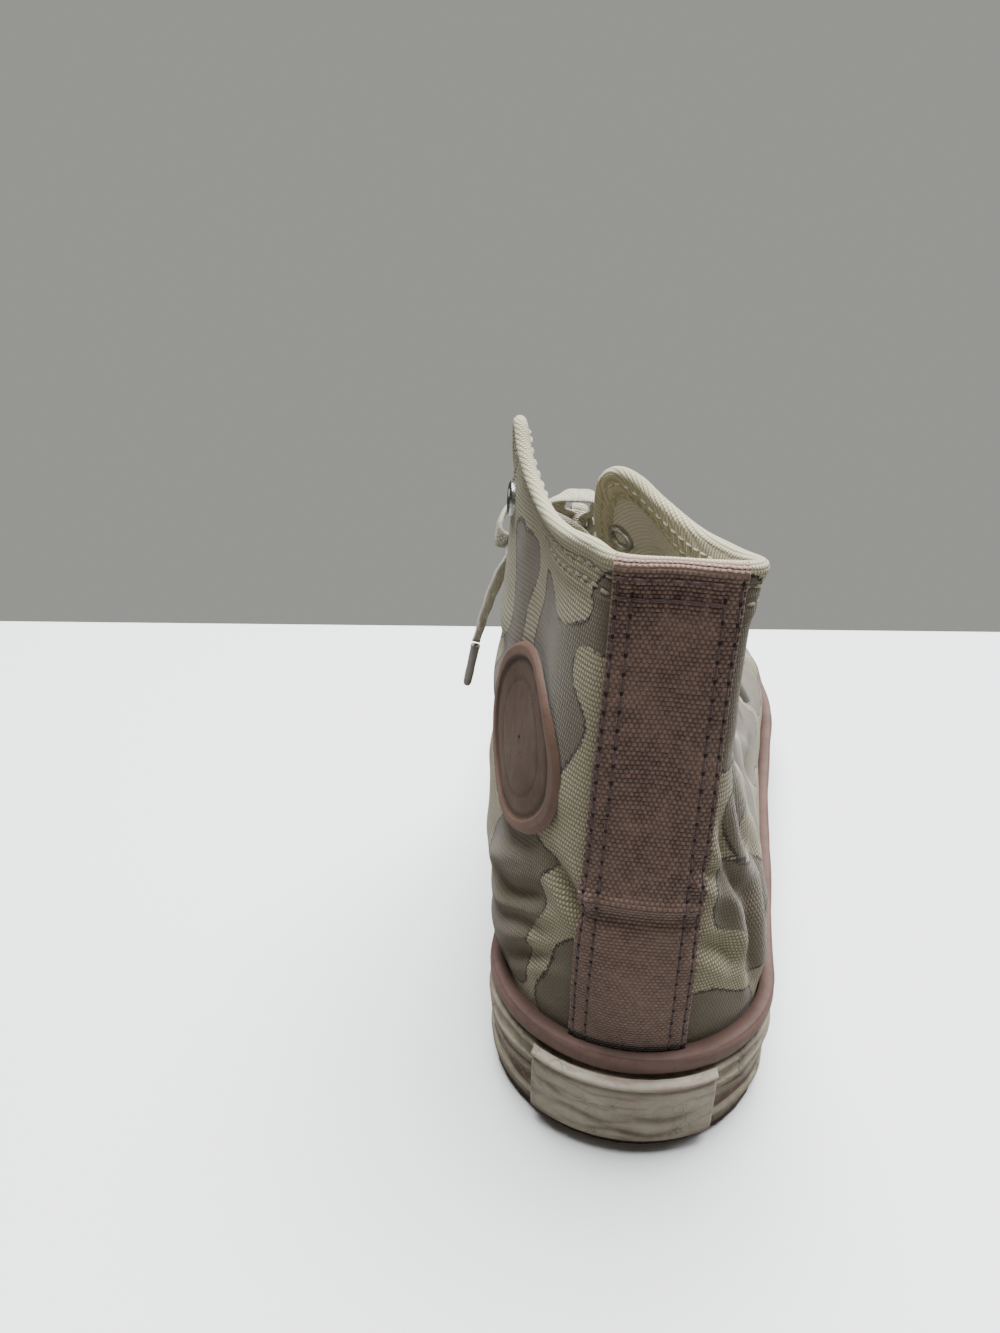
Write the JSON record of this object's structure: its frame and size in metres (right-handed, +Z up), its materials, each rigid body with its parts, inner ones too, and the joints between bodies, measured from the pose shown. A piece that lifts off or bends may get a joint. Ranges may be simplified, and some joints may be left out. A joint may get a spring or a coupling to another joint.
{
  "type": "high-top canvas sneaker",
  "caption": "Worn high-top canvas sneaker for the right foot, printed in faded camouflage, with a vulcanised rubber sole, rubber toe cap, heel strip, ankle disc and a tied lace.",
  "frame": {"origin": "On the floor, under the middle of the heel seat, 36 mm forward of the back of the sole", "axes": "+Y runs from heel to toe, +X to the little-toe side, +Z up"},
  "size_m": [0.1049, 0.2701, 0.1677],
  "materials": {
    "canvas": "printed cotton canvas, matt, creased",
    "strip_canvas": "coarse mauve canvas, matt",
    "cream_rubber": "aged cream rubber, satin, cracked",
    "mauve_rubber": "mauve rubber bead, satin",
    "brown_rubber": "dirty brown tread rubber, matt",
    "patch_rubber": "mauve-brown moulded rubber, satin",
    "lining": "cream cotton lining, matt",
    "lace_cotton": "flat woven cream cotton",
    "metal": "worn bright aluminium"
  },
  "bodies": {
    "root": {"outsole": "brown_rubber", "foxing_band": "cream_rubber", "foxing_piping": "mauve_rubber", "heel_label": "cream_rubber", "upper": "canvas", "heel_strip": "strip_canvas", "toe_cap": "cream_rubber", "insole": "lining", "ankle_patch": "patch_rubber", "tongue": "canvas", "eyelet_outer_1": "metal", "eyelet_outer_2": "metal", "eyelet_outer_3": "metal", "eyelet_outer_4": "metal", "eyelet_outer_5": "metal", "eyelet_outer_6": "metal", "eyelet_outer_7": "metal", "eyelet_outer_8": "metal", "eyelet_inner_1": "metal", "eyelet_inner_2": "metal", "eyelet_inner_3": "metal", "eyelet_inner_4": "metal", "eyelet_inner_5": "metal", "eyelet_inner_6": "metal", "eyelet_inner_7": "metal", "eyelet_inner_8": "metal", "aglet_inner": "metal", "aglet_outer": "metal", "lace_crossing_1": "lace_cotton", "lace_crossing_2": "lace_cotton", "lace_crossing_3": "lace_cotton", "lace_crossing_4": "lace_cotton", "lace_crossing_5": "lace_cotton", "lace_crossing_6": "lace_cotton", "lace_knot": "lace_cotton", "lace_run_inner": "lace_cotton", "lace_run_outer": "lace_cotton", "bow_loop_back": "lace_cotton", "bow_loop_front": "lace_cotton", "lace_end_inner": "lace_cotton", "lace_end_outer": "lace_cotton"}
  },
  "joints": []
}
